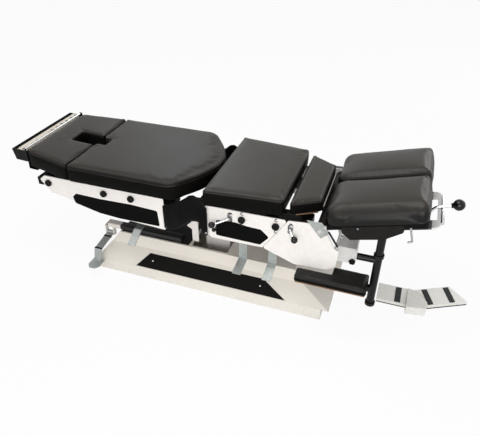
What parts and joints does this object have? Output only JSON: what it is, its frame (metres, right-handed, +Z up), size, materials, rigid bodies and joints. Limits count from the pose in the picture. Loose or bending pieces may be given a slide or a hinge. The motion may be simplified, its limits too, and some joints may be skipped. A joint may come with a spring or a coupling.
{
  "type": "chiropractic table",
  "caption": "Black-cushioned chiropractic table on a cream lift base, with flexing foot section, drop sections, tilting head, armrests, foot levers and a floor foot control",
  "frame": {"origin": "on the floor under the centre of the base's floor plan", "axes": "+X along the table to the head end, +Y away from the operator's lever side, +Z up"},
  "size_m": [2.2677, 0.676, 0.7387],
  "materials": {
    "plinth_paint": "satin",
    "cream_paint": "satin",
    "black_panel": "matt",
    "black_deck": "matt",
    "beam_paint": "satin",
    "zinc_steel": "zinc plated",
    "column_aluminium": "anodised",
    "inner_aluminium": "anodised",
    "dark_paint": "satin",
    "rod_chrome": "polished",
    "frame_paint": "satin",
    "pin_steel": "plain",
    "plate_paint": "satin",
    "inset_black": "matt",
    "boot_fabric": "woven, slightly shiny",
    "cable_rubber": "matt",
    "board_black": "matt",
    "vinyl": "soft sheen",
    "tray_black": "satin",
    "paper": "matt",
    "lever_chrome": "polished",
    "knob_plastic": "matt",
    "black_frame": "satin",
    "lever_black": "satin",
    "wire_black": "satin",
    "post_black": "satin",
    "arm_vinyl": "soft sheen",
    "pedal_paint": "satin",
    "key_rubber": "ribbed"
  },
  "bodies": {
    "base": {"base_pan": "plinth_paint", "base_cover": "cream_paint", "kick_panels": "black_panel", "base_deck": "black_deck", "end_beam": "beam_paint", "outer_column": "column_aluminium", "actuator_body": "dark_paint", "foot_control_housing": "pedal_paint"},
    "lift": {"inner_column": "inner_aluminium", "actuator_rod": "rod_chrome", "lift_frame": "frame_paint", "flexion_pin": "pin_steel", "thoracic_plates": "plate_paint", "head_plates": "plate_paint", "thoracic_insets": "inset_black", "head_pivot_shaft": "pin_steel", "waist_boots": "boot_fabric", "control_cable": "cable_rubber", "head_end_bracket": "plate_paint"},
    "caudal": {"caudal_frame": "frame_paint", "caudal_plates": "plate_paint", "caudal_insets": "inset_black", "ankle_board": "board_black", "ankle_cushion": "vinyl", "paper_tray": "tray_black", "cutter_rod": "rod_chrome"},
    "roll": {"paper_roll": "paper"},
    "pelvic": {"pelvic_board": "board_black", "pelvic_cushion": "vinyl"},
    "thoracic": {"thoracic_board": "board_black", "thoracic_cushion": "vinyl"},
    "cervical": {"cervical_board": "board_black", "cervical_cushion": "vinyl"},
    "pelvic_foot_lever": {"pelvic_lever": "zinc_steel"},
    "thoracic_foot_lever": {"thoracic_lever": "zinc_steel"},
    "cervical_foot_lever": {"cervical_lever": "zinc_steel"},
    "end_foot_lever": {"end_lever": "zinc_steel"},
    "tension_ball": {"tension_lever": "lever_chrome"},
    "head_lock_ball": {"head_lock_lever": "lever_chrome"},
    "knob_end": {"caudal_knob_end": "knob_plastic"},
    "knob_middle": {"caudal_knob_middle": "knob_plastic"},
    "knob_waist": {"caudal_knob_waist": "knob_plastic"},
    "knob_tension": {"tension_knob": "knob_plastic"},
    "knob_drop": {"drop_knob": "knob_plastic"},
    "head": {"head_subframe": "black_frame", "head_handle": "black_frame", "head_grip_bar": "rod_chrome", "head_boards": "board_black", "head_cushions": "vinyl", "armrest_brackets": "black_frame"},
    "head_release": {"head_release_lever": "lever_black"},
    "wire": {"wire_lever": "wire_black"},
    "lobe": {"lobed_knob": "knob_plastic"},
    "arm_near": {"armrest_post_near": "post_black", "armrest_pad_near": "arm_vinyl"},
    "arm_far": {"armrest_post_far": "post_black", "armrest_pad_far": "arm_vinyl"},
    "key_lower": {"foot_key_lower": "key_rubber"},
    "key_raise": {"foot_key_raise": "key_rubber"},
    "key_stop": {"foot_key_stop": "key_rubber"}
  },
  "joints": [
    {"name": "table_lift", "type": "slide", "parent": "base", "child": "lift", "axis": [0, 0, 1], "range_m": [0, 0.2]},
    {"name": "caudal_flexion", "type": "hinge", "parent": "lift", "child": "caudal", "pos_m": [-0.05, 0, 0.44], "axis": [0, 1, 0], "range_deg": [-25, 0]},
    {"name": "paper_spin", "type": "hinge", "parent": "caudal", "child": "roll", "pos_m": [-0.95217, 0, 0.62228], "axis": [0, 1, 0], "continuous": true},
    {"name": "pelvic_drop", "type": "slide", "parent": "caudal", "child": "pelvic", "axis": [0, 0, 1], "range_m": [0, 0.012]},
    {"name": "thoracic_drop", "type": "slide", "parent": "lift", "child": "thoracic", "axis": [0, 0, 1], "range_m": [0, 0.012]},
    {"name": "cervical_drop", "type": "slide", "parent": "lift", "child": "cervical", "axis": [0, 0, 1], "range_m": [0, 0.012]},
    {"name": "pelvic_pedal", "type": "hinge", "parent": "caudal", "child": "pelvic_foot_lever", "pos_m": [-0.319, -0.2, 0.336], "axis": [1, 0, 0], "range_deg": [0, 10]},
    {"name": "thoracic_pedal", "type": "hinge", "parent": "lift", "child": "thoracic_foot_lever", "pos_m": [0.221, -0.15, 0.395], "axis": [1, 0, 0], "range_deg": [0, 10]},
    {"name": "cervical_pedal", "type": "hinge", "parent": "lift", "child": "cervical_foot_lever", "pos_m": [0.363, -0.15, 0.395], "axis": [1, 0, 0], "range_deg": [0, 10]},
    {"name": "end_pedal", "type": "hinge", "parent": "base", "child": "end_foot_lever", "pos_m": [-0.578, -0.129, 0.16], "axis": [1, 0, 0], "range_deg": [0, 6], "stiffness_Nm_per_rad": 12, "springref_deg": -8.59},
    {"name": "tension_lever_turn", "type": "hinge", "parent": "lift", "child": "tension_ball", "pos_m": [0.163, -0.257, 0.5], "axis": [0, 1, 0], "range_deg": [-30, 30]},
    {"name": "head_lock_turn", "type": "hinge", "parent": "lift", "child": "head_lock_ball", "pos_m": [0.441, -0.257, 0.503], "axis": [0, 1, 0], "range_deg": [-40, 40]},
    {"name": "knob_end_turn", "type": "hinge", "parent": "caudal", "child": "knob_end", "pos_m": [-0.791, -0.265, 0.503], "axis": [0, 1, 0], "continuous": true},
    {"name": "knob_middle_turn", "type": "hinge", "parent": "caudal", "child": "knob_middle", "pos_m": [-0.477, -0.265, 0.503], "axis": [0, 1, 0], "continuous": true},
    {"name": "knob_waist_turn", "type": "hinge", "parent": "caudal", "child": "knob_waist", "pos_m": [-0.33, -0.265, 0.503], "axis": [0, 1, 0], "continuous": true},
    {"name": "knob_tension_turn", "type": "hinge", "parent": "lift", "child": "knob_tension", "pos_m": [0.22, -0.257, 0.503], "axis": [0, 1, 0], "continuous": true},
    {"name": "knob_drop_turn", "type": "hinge", "parent": "lift", "child": "knob_drop", "pos_m": [0.376, -0.257, 0.503], "axis": [0, 1, 0], "continuous": true},
    {"name": "head_tilt", "type": "hinge", "parent": "lift", "child": "head", "pos_m": [0.568, 0, 0.52], "axis": [0, 1, 0], "range_deg": [-10, 15]},
    {"name": "head_release_turn", "type": "hinge", "parent": "head", "child": "head_release", "pos_m": [0.9143, 0, 0.51806], "axis": [0, 1, 0], "range_deg": [-6, 0]},
    {"name": "wire_lever_turn", "type": "hinge", "parent": "head", "child": "wire", "pos_m": [0.91005, -0.2, 0.62666], "axis": [-0.2588, 0, 0.9659], "range_deg": [-45, 45]},
    {"name": "lobed_knob_turn", "type": "hinge", "parent": "lift", "child": "lobe", "pos_m": [0.712, -0.15, 0.316], "axis": [0, 1, 0], "continuous": true},
    {"name": "armrest_near_swing", "type": "hinge", "parent": "head", "child": "arm_near", "pos_m": [0.821, -0.2495, 0.52], "axis": [0, 0, 1], "range_deg": [0, 90]},
    {"name": "armrest_far_swing", "type": "hinge", "parent": "head", "child": "arm_far", "pos_m": [0.821, 0.2495, 0.52], "axis": [0, 0, 1], "range_deg": [-90, 0]},
    {"name": "key_lower_press", "type": "slide", "parent": "base", "child": "key_lower", "axis": [0, 0, -1], "range_m": [0, 0.003], "stiffness_N_per_m": 900, "springref_m": -0.001},
    {"name": "key_raise_press", "type": "slide", "parent": "base", "child": "key_raise", "axis": [0, 0, -1], "range_m": [0, 0.003], "stiffness_N_per_m": 900, "springref_m": -0.001},
    {"name": "key_stop_press", "type": "slide", "parent": "base", "child": "key_stop", "axis": [0, 0, -1], "range_m": [0, 0.003], "stiffness_N_per_m": 900, "springref_m": -0.001}
  ],
  "couplings": [
    {"joint": "pelvic_drop", "follows": "pelvic_pedal", "m_per_rad": 0.068754},
    {"joint": "thoracic_drop", "follows": "thoracic_pedal", "m_per_rad": 0.068754},
    {"joint": "cervical_drop", "follows": "cervical_pedal", "m_per_rad": 0.068754}
  ]
}
